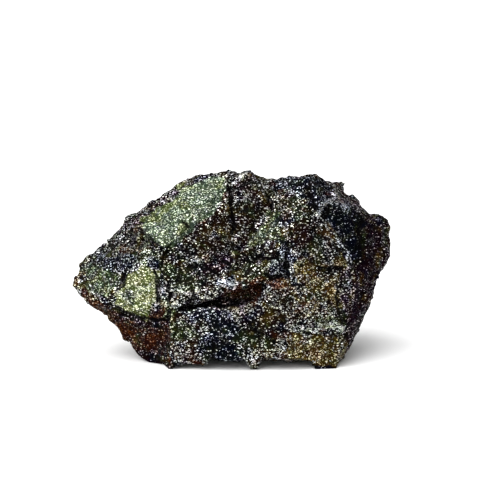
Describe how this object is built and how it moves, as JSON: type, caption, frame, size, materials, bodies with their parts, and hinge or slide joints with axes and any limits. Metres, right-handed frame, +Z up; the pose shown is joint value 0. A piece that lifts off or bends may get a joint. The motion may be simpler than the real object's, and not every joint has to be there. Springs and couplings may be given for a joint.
{
  "type": "stannite specimen",
  "caption": "Broken lump of dark massive stannite ore, with a green stained face and brown tarnish, resting on its flat underside.",
  "frame": {"origin": "on the resting plane, under the middle of the lump's bounding box", "axes": "+Z up, +X to the right of the display side and along the longest extent, the display side faces -Y"},
  "size_m": [0.08, 0.0478, 0.0478],
  "materials": {
    "stannite_ore": "rough granular break, metallic glints, green and brown stains"
  },
  "bodies": {
    "root": {"stannite_mass": "stannite_ore"}
  },
  "joints": []
}
